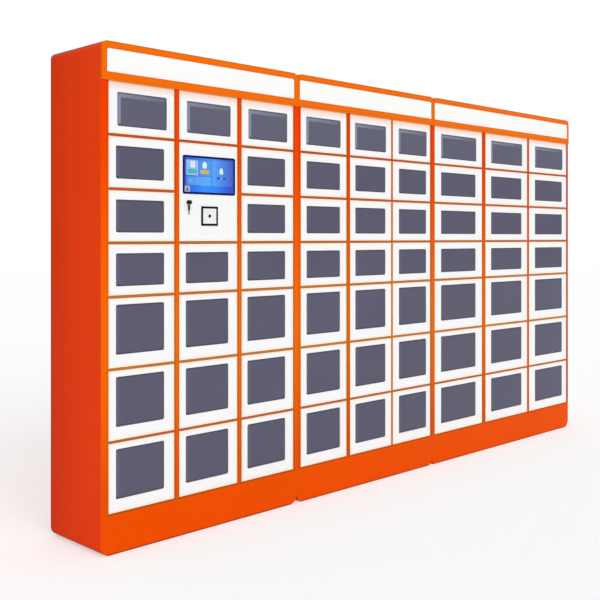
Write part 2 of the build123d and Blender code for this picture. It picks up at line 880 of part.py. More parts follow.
def make_cam_lock():
    """The lock's barrel, the turning plug with its key and cam, and the spare key on a ring."""
    x = cam_lock_x
    z = cam_lock_z
    barrel = rod(x, z, barrel_flange_radius, key_front, door_recess)
    barrel += rod(x, z, barrel_radius, door_recess, door_recess + barrel_length)
    barrel -= rod(x, z, plug_radius + plug_clearance, key_front - 1,
                  door_recess + barrel_length + 1)
    add("cam_lock", [barrel])
    cam_front = lip_back + cam_setback
    key = rod(x, z, plug_radius, key_front, cam_front)
    cam = (x - cam_width / 2, x + cam_width / 2, z - cam_length, z + cam_width / 2)
    key += plate(cam, cam_front, cam_front + cam_thickness, cam_width / 2 - 1)
    key += rod(x, z, key_neck_radius, key_bow_y, key_front)
    bow = Pos(x, key_bow_y, z) * Rot(0, 90, 0) * Cylinder(key_bow_radius, key_bow_thickness)
    hole_y = key_bow_y - key_bow_radius / 2
    bow -= Pos(x, hole_y, z) * Rot(0, 90, 0) * Cylinder(key_bow_hole_radius,
                                                        key_bow_thickness + 2)
    add("lock_key", [key + bow])
    ring_y = key_front - key_ring_offset
    drop = key_ring_radius - key_ring_wire_radius - key_neck_radius - key_ring_play
    ring_z = z - drop
    ring = Pos(x, ring_y, ring_z) * Rot(90, 0, 0) * Torus(key_ring_radius, key_ring_wire_radius)
    slack = spare_hole_radius - key_ring_wire_radius - key_ring_play / 2
    hole_z = ring_z - key_ring_radius - slack
    head_top = hole_z + spare_hole_inset
    head_middle = head_top - spare_head_height / 2
    head = Box(spare_head_thickness, spare_head_width, spare_head_height)
    head = fillet(head.edges().filter_by(Axis.X), spare_head_width / 2 - 0.5)
    spare = Pos(x, ring_y, head_middle) * head
    blade_top = head_top - spare_head_height
    spare += Pos(x, ring_y, blade_top - spare_blade_length / 2 + 1) * Box(
        spare_blade_thickness, spare_blade_width, spare_blade_length)
    spare -= Pos(x, ring_y, hole_z) * Rot(0, 90, 0) * Cylinder(spare_hole_radius,
                                                               spare_head_thickness + 2)
    add("spare_key", [ring, spare])


def make_electronics():
    """Power supply on the service compartment's floor, control board on its back."""
    x0, x1 = first.columns[service_column]
    middle = (x0 + x1) / 2
    low = service_span[0]
    supply = (middle - supply_width / 2, middle + supply_width / 2, low, low + supply_height)
    add("control_electronics", [plate(supply, supply_setback, supply_setback + supply_depth)])
    board_z = (service_span[0] + service_span[1]) / 2
    board = (middle - board_width / 2, middle + board_width / 2,
             board_z - board_height / 2, board_z + board_height / 2)
    back = compartment_back - standoff_length
    front = back - board_thickness
    shapes = [plate(board, front, back)]
    corner = grow(board, -2 * standoff_radius)
    for x in corner[:2]:
        for z in corner[2:]:
            shapes.append(rod(x, z, standoff_radius, back, compartment_back))
    third_of_board = board_width / 3
    for i in range(3):
        chip = board[0] + third_of_board * (i + 0.5)
        side = third_of_board / 4
        rect = (chip - side, chip + side, board_z - side, board_z + side)
        shapes.append(plate(rect, front - board_chip_height, front))
    add("control_electronics", shapes)


def make_feet(cabinet):
    """Levelling feet: pad, stem and lock nut, screwed into the base's cups."""
    for x, y in foot_places(cabinet):
        foot = post(x, y, foot_pad_radius, 0, foot_pad_height)
        foot += post(x, y, foot_stem_radius, foot_pad_height, foot_stem_top)
        nut = extrude(Plane((x, y, foot_cup_height)) * RegularPolygon(foot_nut_radius, 6),
                      foot_nut_height)
        add("levelling_feet", [foot + nut])


def make_compressor(cabinet):
    """A low hermetic compressor on a plate with four rubber feet."""
    x = cabinet.inner_right - compressor_from_right
    base = sheet + compressor_foot_height
    shell = post(x, compressor_y, compressor_radius, base + compressor_plate_thickness,
                 base + compressor_height)
    shell = fillet(shell.edges().group_by(Axis.Z)[-1], compressor_edge_radius)
    reach = compressor_foot_spread + compressor_foot_radius
    shell += Pos(x, compressor_y, base + compressor_plate_thickness / 2) * Box(
        2 * reach, 2 * reach, compressor_plate_thickness)
    shapes = [shell]
    for dx in (-compressor_foot_spread, compressor_foot_spread):
        for dy in (-compressor_foot_spread, compressor_foot_spread):
            shapes.append(post(x + dx, compressor_y + dy, compressor_foot_radius, sheet, base))
    add("compressors", shapes)


def condenser_span(cabinet):
    """X of the two ends of the condenser."""
    x0 = cabinet.inner_left + condenser_from_left
    return x0, x0 + condenser_length


def make_condenser(cabinet):
    """Condenser coil block with its fan shroud, fan motor and shaft."""
    x0, x1 = condenser_span(cabinet)
    back = condenser_y + condenser_thickness
    coil = plate((x0, x1, sheet, sheet + condenser_height), condenser_y, back)
    grooves = int((condenser_length - condenser_groove_pitch) // condenser_groove_pitch)
    for i in range(grooves):
        g0 = x0 + condenser_groove_pitch * (i + 0.75)
        coil -= plate((g0, g0 + condenser_groove_width, sheet - 1, sheet + condenser_height + 1),
                      condenser_y - 1, condenser_y + condenser_groove_depth)
    middle = (x0 + x1) / 2
    bore = fan_radius + fan_tip_clearance
    outer = bore + fan_shroud_wall
    rect = (middle - outer, middle + outer, sheet, sheet + condenser_height + fan_shroud_wall)
    shroud = plate(rect, back, back + fan_shroud_wall)
    ring_back = back + fan_shroud_wall + fan_shroud_length
    shroud += rod(middle, fan_centre_z, outer, back, ring_back)
    shroud -= rod(middle, fan_centre_z, bore, back - 1, ring_back + 1)
    bar = (middle - outer, middle + outer, fan_centre_z - fan_bar_width / 2,
           fan_centre_z + fan_bar_width / 2)
    shroud += plate(bar, ring_back, ring_back + fan_bar_thickness)
    motor_front = ring_back - fan_motor_length
    shroud += rod(middle, fan_centre_z, fan_motor_radius, motor_front, ring_back)
    shroud += rod(middle, fan_centre_z, fan_shaft_radius, motor_front - fan_shaft_reach,
                  motor_front)
    add("condensers", [coil, shroud])
    hub_back = motor_front - 1
    hub = rod(middle, fan_centre_z, fan_hub_radius, hub_back - fan_hub_length, hub_back)
    blade_middle = hub_back - fan_hub_length / 2
    blade_span = fan_radius - fan_hub_radius + 2
    for i in range(fan_blades):
        blade = Pos(0, 0, fan_radius - blade_span / 2) * Rot(0, 0, fan_blade_pitch) * Box(
            fan_blade_chord, fan_blade_thickness, blade_span)
        hub += Pos(middle, blade_middle, fan_centre_z) * Rot(0, 360 * i / fan_blades, 0) * blade
    hub -= rod(middle, fan_centre_z, fan_shaft_radius + pin_clearance,
               motor_front - fan_shaft_reach - pin_radius / 4, hub_back + 1)
    add(f"condenser_fan_{cabinet.number}", [hub])


def tube(points, radii):
    """A pipe along straight runs joined by tangent arcs."""
    path = FilletPolyline(*points, radius=radii)
    return sweep(Plane(origin=path @ 0, z_dir=path % 0) * Circle(pipe_radius), path=path)


def evaporator_ends(cabinet):
    """X of the ends of the evaporator's straight runs."""
    return (cabinet.inner_left + evaporator_turn_margin, cabinet.inner_right - evaporator_turn_margin)


def evaporator_sheet_ends(cabinet):
    """X of the side edges of the evaporator's sheet, where its tube leaves it."""
    return (cabinet.inner_left + plate_side_margin, cabinet.inner_right - plate_side_margin)


def make_evaporator(cabinet):
    """Cold-wall evaporator: a sheet behind the inner back, with one serpentine tube on it."""
    x0, x1 = evaporator_ends(cabinet)
    front = compartment_back + liner_sheet
    top = evaporator_bottom + evaporator_pitch * (evaporator_rows - 1)
    y = pipe_y()
    sheet_x0, sheet_x1 = evaporator_sheet_ends(cabinet)
    rect = (sheet_x0, sheet_x1, evaporator_bottom - plate_margin, top + plate_margin)
    body = plate(rect, front, front + evaporator_sheet)
    turn = evaporator_pitch / 2
    for row in range(evaporator_rows):
        z = evaporator_bottom + row * evaporator_pitch
        run_x0 = sheet_x0 if row == 0 else x0
        run_x1 = sheet_x1 if row == evaporator_rows - 1 else x1
        body += Pos((run_x0 + run_x1) / 2, y, z) * Rot(0, 90, 0) * Cylinder(pipe_radius,
                                                                            run_x1 - run_x0)
        if row == evaporator_rows - 1:
            continue
        end, side = (x1, 1) if row % 2 == 0 else (x0, -1)
        loop = Pos(end, y, z + turn) * Rot(90, 0, 0) * Torus(turn, pipe_radius)
        half = plate((min(end, end + side * evaporator_pitch), max(end, end + side * evaporator_pitch),
                      z - evaporator_pitch, z + 2 * evaporator_pitch),
                     y - 2 * pipe_radius, y + 2 * pipe_radius)
        body += loop & half
    add("evaporators", [body])


def make_pipes(cabinet):
    """Liquid, suction and discharge pipes between condenser, evaporator and compressor."""
    liquid_x, suction_x = riser_places(cabinet)
    x0, x1 = evaporator_sheet_ends(cabinet)
    y = pipe_y()
    bottom = evaporator_bottom
    top = evaporator_bottom + evaporator_pitch * (evaporator_rows - 1)
    coil_x0, coil_x1 = condenser_span(cabinet)
    coil_y = condenser_y + condenser_thickness / 2
    shell_x = cabinet.inner_right - compressor_from_right
    wide = pipe_turn_radius
    tight = pipe_tight_radius
    liquid = tube([(x0, y, bottom), (liquid_x, y, bottom), (liquid_x, y, liquid_pipe_z),
                   (liquid_x, coil_y, liquid_pipe_z), (coil_x0, coil_y, liquid_pipe_z)],
                  [wide, wide / 2, wide / 2])
    suction = tube([(x1, y, top), (suction_x, y, top), (suction_x, y, suction_pipe_z),
                    (suction_x, compressor_y, suction_pipe_z),
                    (shell_x + compressor_radius, compressor_y, suction_pipe_z)],
                   [wide, wide, tight])
    halfway = (shell_x - compressor_radius + coil_x1) / 2
    discharge = tube([(shell_x - compressor_radius, compressor_y, discharge_pipe_z),
                      (halfway, compressor_y, discharge_pipe_z),
                      (halfway, coil_y, discharge_pipe_z), (coil_x1, coil_y, discharge_pipe_z)],
                     [wide, wide])
    add("refrigerant_pipes", [liquid, suction, discharge])


for cabinet in cabinets:
    make_casing(cabinet)
    make_back_panel(cabinet)
    make_face_frame(cabinet)
    make_compartments(cabinet)
    make_insulation(cabinet)
    make_header(cabinet)
    make_plinth(cabinet)
    make_doors(cabinet)
    make_feet(cabinet)
    make_compressor(cabinet)
    make_condenser(cabinet)
    make_evaporator(cabinet)
    make_pipes(cabinet)
make_service_door()
make_screen()
make_reader()
make_cam_lock()
make_electronics()
make_mains_inlet()

# The origin is the middle of the bounding box on the floor
origin_x = third.right / 2
origin_y = (casing_depth + key_reach) / 2


def main():
    for name, solids in nodes.items():
        moved = [Pos(-origin_x, -origin_y, 0) * solid for solid in solids]
        shape = moved[0] if len(moved) == 1 else Compound(moved)
        export_step(shape, f"parts/{name}.step")
    print(len(nodes), "nodes,", sum(len(solids) for solids in nodes.values()), "solids")
    print("bank", third.right, "x", casing_depth, "x", overall_height)


main()
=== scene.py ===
import json
import math

import bmesh
import bpy
import numpy as np
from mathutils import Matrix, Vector


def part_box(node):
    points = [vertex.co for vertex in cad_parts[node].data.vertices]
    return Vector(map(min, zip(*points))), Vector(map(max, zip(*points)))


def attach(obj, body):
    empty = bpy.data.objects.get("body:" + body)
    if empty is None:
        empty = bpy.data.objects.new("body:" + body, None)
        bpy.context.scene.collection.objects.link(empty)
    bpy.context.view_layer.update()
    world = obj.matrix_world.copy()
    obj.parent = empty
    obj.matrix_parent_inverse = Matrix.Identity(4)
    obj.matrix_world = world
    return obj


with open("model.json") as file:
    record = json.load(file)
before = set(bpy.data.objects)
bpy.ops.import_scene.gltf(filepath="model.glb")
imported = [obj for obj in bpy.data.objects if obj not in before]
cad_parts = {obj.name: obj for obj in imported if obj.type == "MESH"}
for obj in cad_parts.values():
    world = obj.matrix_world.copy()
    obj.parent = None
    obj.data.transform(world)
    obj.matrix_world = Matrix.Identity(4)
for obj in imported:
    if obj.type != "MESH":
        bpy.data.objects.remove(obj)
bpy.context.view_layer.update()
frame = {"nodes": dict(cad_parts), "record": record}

cad = frame["nodes"]
bodies = frame["record"]["behaviour"]["bodies"]

# Places are written in millimetres: x from the bank's left end, y back from the front plane of
# the face frames, z up from the floor.
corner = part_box("casing_1")[0]


def place(x, y, z):
    """A point in the frame's metres."""
    return Vector((corner.x + x / 1000, corner.y + y / 1000, z / 1000))


COLUMNS = {
    "a": (35.0, 372.0), "b": (394.5, 731.5), "c": (754.0, 1091.0),
    "d": (1139.0, 1476.0), "e": (1500.0, 1837.0), "f": (1846.0, 2183.0),
    "g": (2221.5, 2700.0), "h": (2733.5, 3212.0), "i": (3231.0, 3709.5),
}
ROWS = [(1724.0, 1943.0), (1502.0, 1716.0), (1280.0, 1494.0), (1058.0, 1272.0),
        (761.0, 1050.0), (464.0, 753.0), (167.0, 456.0)]
DOOR_GAP = 2.0
WINDOW_LEFT = {"a": 35.0, "b": 35.0, "c": 35.0, "d": 40.0, "e": 40.0, "f": 52.0,
               "g": 60.0, "h": 60.0, "i": 71.0}
TOP_SHIFT = {"a": 6.0, "b": 6.0, "c": 6.0, "d": -3.0, "e": -3.0, "f": -3.0,
             "g": 0.0, "h": 0.0, "i": 0.0}
TOP_EXTRA_WIDTH = 8.0
TOP_WINDOW = (32.0, 140.0)
NARROW_WINDOW = 244.0
WIDE_WINDOW = 347.0
SHORT_WINDOW = (37.0, 136.0)
TALL_WINDOW = (53.0, 206.0)
WINDOW_RADIUS = 8.0
PANE_OVERLAP = 5.0
SCREEN = (414.5, 714.5, 1490.0, 1660.0)
CABINETS = {1: (0.0, 1113.5), 2: (1113.5, 2202.5), 3: (2202.5, 3729.0)}
HEADER = (1944.0, 2100.0)
SIGNS = [(26.0, 1090.5), (1128.5, 2185.5), (2215.5, 3709.0)]
SIGN_RISE = (1975.0, 2071.0)


def window_rect(letter, row):
    """The window opening of a door: x0, x1, z0, z1."""
    x0 = COLUMNS[letter][0] + DOOR_GAP + WINDOW_LEFT[letter]
    width = WIDE_WINDOW if letter in "ghi" else NARROW_WINDOW
    bottom, height = SHORT_WINDOW if row < 4 else TALL_WINDOW
    if row == 0:
        x0 += TOP_SHIFT[letter]
        width += TOP_EXTRA_WIDTH
        bottom, height = TOP_WINDOW
    z0 = ROWS[row][0] + DOOR_GAP + bottom
    return (x0, x0 + width, z0, z0 + height)


def doors_of(body):
    """(column letter, row index) of every glazed door that rides on a body."""
    if body.startswith("door_column_"):
        return [(body[-1], row) for row in range(7)]
    return [(body[5], int(body[6]) - 1)]


GLAZED = [body for body in bodies if body.startswith("door_")]


# Materials

def srgb(r, g, b):
    """Display values from 0 to 255 as a linear colour."""
    out = []
    for v in (r, g, b):
        v /= 255
        out.append(v / 12.92 if v <= 0.04045 else ((v + 0.055) / 1.055) ** 2.4)
    return (*out, 1.0)


class Paint:
    """A material's node tree, built from small steps."""

    def __init__(self, name):
        self.material = bpy.data.materials.new(name)
        self.material.use_nodes = True
        self.tree = self.material.node_tree
        self.shader = self.tree.nodes["Principled BSDF"]
        self.coordinates = self.tree.nodes.new("ShaderNodeTexCoord").outputs["Object"]

    def node(self, kind, **values):
        """A new node with some of its settings."""
        made = self.tree.nodes.new(kind)
        for name, value in values.items():
            setattr(made, name, value)
        return made

    def put(self, socket, value):
        """A socket's value: a link from another socket, a colour or a number."""
        if isinstance(value, bpy.types.NodeSocket):
            self.tree.links.new(value, socket)
        else:
            socket.default_value = value

    def set(self, name, value):
        """Sets one of the shader's own sockets."""
        self.put(self.shader.inputs[name], value)

    def stretched(self, sx, sy, sz):
        """Coordinates scaled along each axis, for a grain that runs one way."""
        mapping = self.node("ShaderNodeMapping")
        self.put(mapping.inputs["Vector"], self.coordinates)
        mapping.inputs["Scale"].default_value = (sx, sy, sz)
        return mapping.outputs["Vector"]

    def noise(self, scale, detail=2.0, vector=None, rough=0.5):
        """Soft clouds; a larger scale makes them smaller."""
        made = self.node("ShaderNodeTexNoise")
        self.put(made.inputs["Vector"], vector or self.coordinates)
        made.inputs["Scale"].default_value = scale
        made.inputs["Detail"].default_value = detail
        made.inputs["Roughness"].default_value = rough
        return made.outputs["Fac"]

    def cells(self, scale):
        """Distance to the nearest of many scattered points."""
        made = self.node("ShaderNodeTexVoronoi")
        self.put(made.inputs["Vector"], self.coordinates)
        made.inputs["Scale"].default_value = scale
        return made.outputs["Distance"]

    def span(self, value, a, b, low=0.0, high=1.0):
        """value from a to b, spread over low to high."""
        made = self.node("ShaderNodeMapRange")
        self.put(made.inputs["Value"], value)
        made.inputs["From Min"].default_value = a
        made.inputs["From Max"].default_value = b
        made.inputs["To Min"].default_value = low
        made.inputs["To Max"].default_value = high
        return made.outputs["Result"]

    def blend(self, share, a, b):
        """A colour between a and b."""
        made = self.node("ShaderNodeMix", data_type="RGBA")
        self.put(made.inputs["Factor"], share)
        self.put(made.inputs[6], a)
        self.put(made.inputs[7], b)
        return made.outputs[2]

    def ramp(self, value, stops):
        """A colour for each value: stops are (place from 0 to 1, colour)."""
        made = self.node("ShaderNodeValToRGB")
        self.put(made.inputs["Fac"], value)
        line = made.color_ramp
        line.elements[0].position, line.elements[0].color = stops[0]
        line.elements[1].position, line.elements[1].color = stops[-1]
        for at, colour in stops[1:-1]:
            line.elements.new(at).color = colour
        return made.outputs["Color"]

    def darkened(self, colour, by, share=1.0):
        """A colour multiplied by another, fully or in part."""
        made = self.node("ShaderNodeMix", data_type="RGBA", blend_type="MULTIPLY")
        self.put(made.inputs["Factor"], share)
        self.put(made.inputs[6], colour)
        self.put(made.inputs[7], by)
        return made.outputs[2]

    def along(self, axis):
        """The place's coordinate along X, Y or Z, in metres."""
        made = self.node("ShaderNodeSeparateXYZ")
        self.put(made.inputs["Vector"], self.coordinates)
        return made.outputs[axis]

    def maths(self, operation, a, b=0.0):
        """The result of a Math node on one or two values."""
        made = self.node("ShaderNodeMath", operation=operation)
        self.put(made.inputs[0], a)
        self.put(made.inputs[1], b)
        return made.outputs[0]

    def depth_within(self, axis, spans):
        """How far a place lies inside the nearest of some spans along an axis, in metres; below
        zero outside them all."""
        place_along = self.along(axis)
        deepest = None
        for low, high in spans:
            offset = self.maths("SUBTRACT", place_along, (low + high) / 2)
            depth = self.maths("SUBTRACT", (high - low) / 2, self.maths("ABSOLUTE", offset))
            deepest = depth if deepest is None else self.maths("MAXIMUM", deepest, depth)
        return deepest

    def depth_in(self, across, up):
        """How far a place lies inside the rectangles that spans across and up make, in
        millimetres; below zero outside them."""
        across = [(corner.x + x0 / 1000, corner.x + x1 / 1000) for x0, x1 in across]
        up = [(z0 / 1000, z1 / 1000) for z0, z1 in up]
        depth = self.maths("MINIMUM", self.depth_within("X", across), self.depth_within("Z", up))
        return self.maths("MULTIPLY", depth, 1000.0)

    def bump(self, height, strength, depth):
        """A fine relief in the surface's shading; depth is in metres."""
        made = self.node("ShaderNodeBump")
        self.put(made.inputs["Height"], height)
        made.inputs["Strength"].default_value = strength
        made.inputs["Distance"].default_value = depth
        self.put(self.shader.inputs["Normal"], made.outputs["Normal"])


def powder_coat(name, colour, darker=0.95, roughness=(0.36, 0.46), peel=0.10, shine=0.04,
                gloss=(1.0, 0.32, 0.05, 1.0)):
    """Satin powder coat: a fine orange-peel skin and a faint unevenness of tone.

    colour is a colour, or a function that makes one from the paint. gloss tints its shine."""
    paint = Paint(name)
    base = colour(paint) if callable(colour) else colour
    cloud = paint.span(paint.noise(2.3, 3.0), 0.35, 0.7, 0.0, 0.5)
    if callable(colour):
        paint.set("Base Color", paint.darkened(base, (darker, darker, darker, 1.0), cloud))
    else:
        low = tuple(c * darker for c in colour[:3]) + (1.0,)
        paint.set("Base Color", paint.blend(cloud, colour, low))
    paint.set("Roughness", paint.span(paint.noise(38.0, 2.0), 0.3, 0.7, *roughness))
    paint.set("Specular IOR Level", shine)
    paint.set("Specular Tint", gloss)
    paint.bump(paint.noise(420.0, 2.0), peel, 0.0004)
    return paint.material


def moulded(name, colour, roughness=(0.42, 0.55), grain=900.0, depth=0.12, shine=0.4):
    """Moulded plastic or rubber with a fine grain."""
    paint = Paint(name)
    low = tuple(c * 0.86 for c in colour[:3]) + (1.0,)
    cloud = paint.span(paint.noise(30.0), 0.3, 0.7, 0, 0.6)
    paint.set("Base Color", paint.blend(cloud, colour, low))
    paint.set("Roughness", paint.span(paint.noise(60.0), 0.3, 0.7, *roughness))
    paint.set("Specular IOR Level", shine)
    paint.bump(paint.noise(grain, 1.0), depth, 0.0003)
    return paint.material


def brushed(name, colour, direction=(3.0, 90.0, 90.0), roughness=(0.26, 0.42)):
    """Metal with fine parallel scratches along one direction."""
    paint = Paint(name)
    lines = paint.noise(9.0, 3.0, paint.stretched(*direction), 0.7)
    low = tuple(c * 0.8 for c in colour[:3]) + (1.0,)
    paint.set("Base Color", paint.blend(paint.span(lines, 0.3, 0.7), colour, low))
    paint.set("Metallic", 1.0)
    paint.set("Roughness", paint.span(lines, 0.3, 0.7, *roughness))
    paint.bump(lines, 0.08, 0.0002)
    return paint.material


def plated(name, colour, roughness=(0.25, 0.4)):
    """Plated or bare metal with small cloudy spangles."""
    paint = Paint(name)
    low = tuple(c * 0.72 for c in colour[:3]) + (1.0,)
    paint.set("Base Color", paint.blend(paint.span(paint.cells(160.0), 0.0, 0.9), colour, low))
    paint.set("Metallic", 1.0)
    paint.set("Roughness", paint.span(paint.noise(90.0), 0.3, 0.7, *roughness))
    return paint.material


HEIGHT = 2.1
WHITE = (1.0, 1.0, 1.0, 1.0)


def shade(value):
    """A grey by which a colour is darkened."""
    return (value, value, value, 1.0)


def from_openings(paint):
    """How far a place on the frame lies from the door openings, in millimetres."""
    return paint.maths("MULTIPLY", paint.depth_in(COLUMNS.values(), ROWS), -1.0)


def from_header_edges(paint):
    """How far a place on a header frame lies from the frame's edges, in millimetres."""
    from_outside = paint.depth_in(CABINETS.values(), [HEADER])
    from_sign = paint.maths("MULTIPLY", paint.depth_in(SIGNS, [SIGN_RISE]), -1.0)
    return paint.maths("MINIMUM", from_outside, from_sign)


def edged(paint, tone, distance, fade):
    """A tone that is less red along edges, a painted shade. Each step of the fade is (millimetres
    from the edge, share of the red that is left)."""
    reach = fade[-1][0]
    stops = [(at / reach, (red, 1.0, 1.0, 1.0)) for at, red in fade]
    return paint.darkened(tone, paint.ramp(paint.span(distance, 0.0, reach), stops))


def stile_tone(paint):
    """Red-orange at the top of the face frame, warmer at mid height, deeper at the foot: a painted
    gradient of light and shade up the frame's height. A painted shade darkens the bank's right
    edge."""
    stops = [
        (0.0, srgb(232, 80, 3)), (0.14, srgb(238, 83, 5)), (0.28, srgb(247, 100, 8)),
        (0.43, srgb(250, 108, 8)), (0.62, srgb(252, 92, 4)), (0.78, srgb(248, 72, 2)),
        (0.92, srgb(249, 62, 4)),
    ]
    tone = paint.ramp(paint.span(paint.along("Z"), 0.0, HEIGHT), stops)
    right_edge_shade = paint.span(paint.along("X"), corner.x + 3.711, corner.x + 3.723)
    return paint.darkened(tone, paint.ramp(right_edge_shade, [(0.0, WHITE), (0.7, shade(0.5))]))


def rail_tone(paint):
    """The thin rails between the doors, deeper than the stiles: a painted shade, with a painted
    gradient of light and shade up their height.
    """
    stops = [
        (0.0, srgb(196, 94, 46)), (0.23, srgb(196, 98, 48)), (0.36, srgb(208, 124, 46)),
        (0.51, srgb(216, 116, 44)), (0.61, srgb(208, 106, 42)), (0.71, srgb(214, 92, 40)),
        (0.82, srgb(206, 80, 38)),
    ]
    return paint.ramp(paint.span(paint.along("Z"), 0.0, HEIGHT), stops)


def side_tone(paint):
    """The side panels deepen from the front edge to the back, a painted shade, with painted dark
    lines of shade along the rear, top and bottom edges.
    """
    y0 = corner.y
    stops = [
        (0.0, srgb(255, 74, 2)), (0.06, srgb(253, 66, 2)), (0.3, srgb(249, 65, 3)),
        (0.6, srgb(242, 62, 2)), (0.978, srgb(228, 56, 2)), (0.992, srgb(140, 42, 8)),
    ]
    tone = paint.ramp(paint.span(paint.along("Y"), y0, y0 + 0.396), stops)
    # Painted shade along the panel's bottom and top edges
    edges = [
        (0.0, shade(0.30)), (0.0028, shade(0.75)), (0.0045, WHITE), (0.992, WHITE),
        (0.996, shade(0.4)), (1.0, shade(0.22)),
    ]
    return paint.darkened(tone, paint.ramp(paint.span(paint.along("Z"), 0.0, HEIGHT), edges))


def plinth_tone(paint):
    """Deep orange, with painted shade: dark lines along the bottom edge and below the doors."""
    stops = [(0.0, srgb(130, 46, 8)), (0.4, srgb(196, 66, 4)), (1.0, srgb(238, 82, 2))]
    tone = paint.ramp(paint.span(paint.along("Z"), 0.0, 0.0085), stops)
    return edged(paint, tone, from_openings(paint), [(0.0, 0.58), (5.0, 0.64), (8.0, 1.0)])


def header_tone(paint, fade):
    """Bright orange, darker along the header frame's edges and most of all along its top: a painted
    shade.
    """
    tone = edged(paint, srgb(252, 110, 8), from_header_edges(paint), fade)
    top_edge_shade = paint.span(paint.along("Z"), 2.093, 2.098)
    stops = [(0.0, WHITE), (1.0, (0.80, 1.0, 1.0, 1.0))]
    return paint.darkened(tone, paint.ramp(top_edge_shade, stops))


def door_tone(paint, rows=ROWS):
    """White, with painted orange light from the header on the top edge of the upper doors and
    painted orange light from the frame round every door's rim."""
    stops = [
        (0.0, srgb(251, 251, 252)), (0.12, srgb(251, 248, 248)), (0.40, srgb(250, 236, 233)),
        (0.72, srgb(251, 222, 211)), (1.0, srgb(254, 210, 180)),
    ]
    tone = paint.ramp(paint.span(paint.along("Z"), 1.900, 1.943), stops)
    rim = [(0.0, srgb(255, 238, 208)), (0.35, srgb(255, 246, 230)), (1.0, WHITE)]
    depth = paint.depth_in(COLUMNS.values(), rows)
    return paint.darkened(tone, paint.ramp(paint.span(depth, 2.0, 14.0), rim))


def service_tone(paint):
    """The same white, with the painted orange light round its rim, on the service door, which is as
    tall as two rows.
    """
    return door_tone(paint, [(ROWS[2][0], ROWS[1][1])])


def frame_tone(fade):
    """The face frame's tone with its edges' fade, a painted shade."""
    return lambda paint: edged(paint, stile_tone(paint), from_openings(paint), fade)


def white_coat(name, colour, darker=0.99, roughness=(0.28, 0.36), peel=0.06):
    """The doors' white powder coat, glossier than the orange one."""
    return powder_coat(name, colour, darker, roughness, peel, 0.4, WHITE)


# Painted shade along the edges of the header frames and face frames, deeper on the far cabinets
NEAR_HEADER_FADE = [(0.0, 0.78), (3.0, 0.84), (7.0, 0.96), (11.0, 1.0)]
FAR_HEADER_FADE = [(0.0, 0.76), (4.0, 0.84), (9.0, 0.95), (14.0, 1.0)]
NEAR_FADE = [(0.0, 0.70), (4.5, 0.72), (8.0, 0.98)]
FAR_FADE = [(0.0, 0.66), (8.0, 0.66), (13.0, 0.80), (17.0, 0.84), (20.0, 1.0)]
NEAR_HEADER = powder_coat("orange_near_header", lambda paint: header_tone(paint, NEAR_HEADER_FADE))
FAR_HEADER = powder_coat("orange_far_header", lambda paint: header_tone(paint, FAR_HEADER_FADE))
# The lip's orange, lighter than the header's, is a painted light over the shade below the header
ORANGE_LIP = powder_coat("orange_lip", srgb(255, 134, 48))
ORANGE_TOP = powder_coat("orange_top", srgb(251, 108, 8))
# The reveals' orange, lighter than the frame's, is a painted light in the shaded gaps round the
# doors
ORANGE_REVEAL = powder_coat("orange_reveal", srgb(255, 122, 26))
ORANGE_PLINTH = powder_coat("orange_plinth", plinth_tone)
ORANGE_STILE = powder_coat("orange_stile", stile_tone)
NEAR_FRAME = powder_coat("orange_near_frame", frame_tone(NEAR_FADE))
FAR_FRAME = powder_coat("orange_far_frame", frame_tone(FAR_FADE))
ORANGE_RAIL = powder_coat("orange_rail", rail_tone)
ORANGE_SIDE = powder_coat("orange_side", side_tone)
ORANGE_BACK = powder_coat("orange_back", srgb(240, 84, 6))
DOOR_WHITE = white_coat("door_white", door_tone)
SERVICE_WHITE = white_coat("service_white", service_tone)
EDGE_WHITE = white_coat("door_edge_white", srgb(250, 249, 246))
SIGN_WHITE = white_coat("sign_acrylic", srgb(254, 254, 253), 0.995, (0.16, 0.24), 0.02)
LINER = brushed("liner_stainless", srgb(214, 216, 218))
INNER_WHITE = moulded("inner_frame_white", srgb(232, 233, 234))
SEAL = moulded("seal_rubber", srgb(96, 97, 100), (0.6, 0.75), 700.0, 0.2)
BLACK_PLASTIC = moulded("black_plastic", srgb(28, 28, 30))
BLACK_ENAMEL = powder_coat("black_enamel", srgb(26, 26, 28), 0.7, gloss=WHITE)
GREY_STEEL = powder_coat("grey_steel", srgb(150, 153, 156), gloss=WHITE)
RUBBER = moulded("rubber_black", srgb(34, 34, 35), (0.65, 0.8), 500.0, 0.25)
ZINC = plated("zinc", srgb(196, 199, 203))
ALUMINIUM = brushed("aluminium", srgb(206, 208, 211), (60.0, 60.0, 3.0))
COPPER = plated("copper", srgb(205, 132, 96))
FOAM = moulded("foam", srgb(238, 226, 190), (0.8, 0.95), 240.0, 0.5)
LAMP_WHITE = moulded("lamp_white", srgb(236, 236, 233))
BOARD_GREEN = moulded("board_green", srgb(24, 104, 62), (0.3, 0.4), 300.0, 0.15)
NAVY = moulded("bezel_navy", srgb(2, 10, 84), (0.2, 0.3), 1200.0, 0.02, 0.2)
READER_BLACK = moulded("reader_black", srgb(14, 13, 13), (0.45, 0.6), shine=0.12)
READER_WHITE = moulded("reader_white", srgb(246, 246, 247), (0.2, 0.3), 1200.0, 0.03)
LOCK_BLACK = moulded("lock_black", srgb(12, 12, 13), (0.3, 0.4), shine=0.2)
KEY_BLACK = moulded("key_black", srgb(14, 14, 15), (0.35, 0.5), shine=0.25)
KEY_STEEL = brushed("key_steel", srgb(172, 174, 178), (90.0, 90.0, 4.0))


# The panes' tone goes from DARKEST_TONE, a painted shade, through 0, the plain glass, to 1, a
# painted highlight on the bevel
DARKEST_TONE = -0.25


